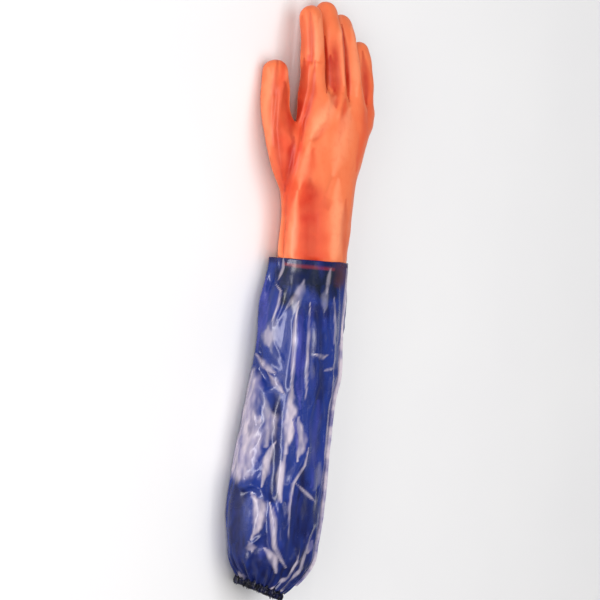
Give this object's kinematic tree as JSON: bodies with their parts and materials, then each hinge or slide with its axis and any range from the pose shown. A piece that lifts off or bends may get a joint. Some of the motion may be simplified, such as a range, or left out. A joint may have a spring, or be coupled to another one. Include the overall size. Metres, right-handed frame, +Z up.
{
  "type": "pvc coated work glove",
  "caption": "Right-hand PVC dipped work glove lying palm down, with a long loose film sleeve welded on at the wrist and gathered by an elastic hem.",
  "frame": {"origin": "middle of the bounding box's underside, on the surface that the glove lies on", "axes": "+Y to the fingertips, +Z up from the surface (the back of the hand), -X to the thumb's side"},
  "size_m": [0.1486, 0.6024, 0.0732],
  "materials": {
    "orange_coat": "satin dipped PVC",
    "blue_film": "glossy film",
    "weld_film": "glossy film, two layers",
    "dark_film": "crinkled film",
    "elastic": "matt"
  },
  "bodies": {
    "root": {"hand_shell": "orange_coat", "film_sleeve": "blue_film", "side_weld": "weld_film", "gathered_hem": "dark_film", "hem_elastic": "elastic"}
  },
  "joints": []
}
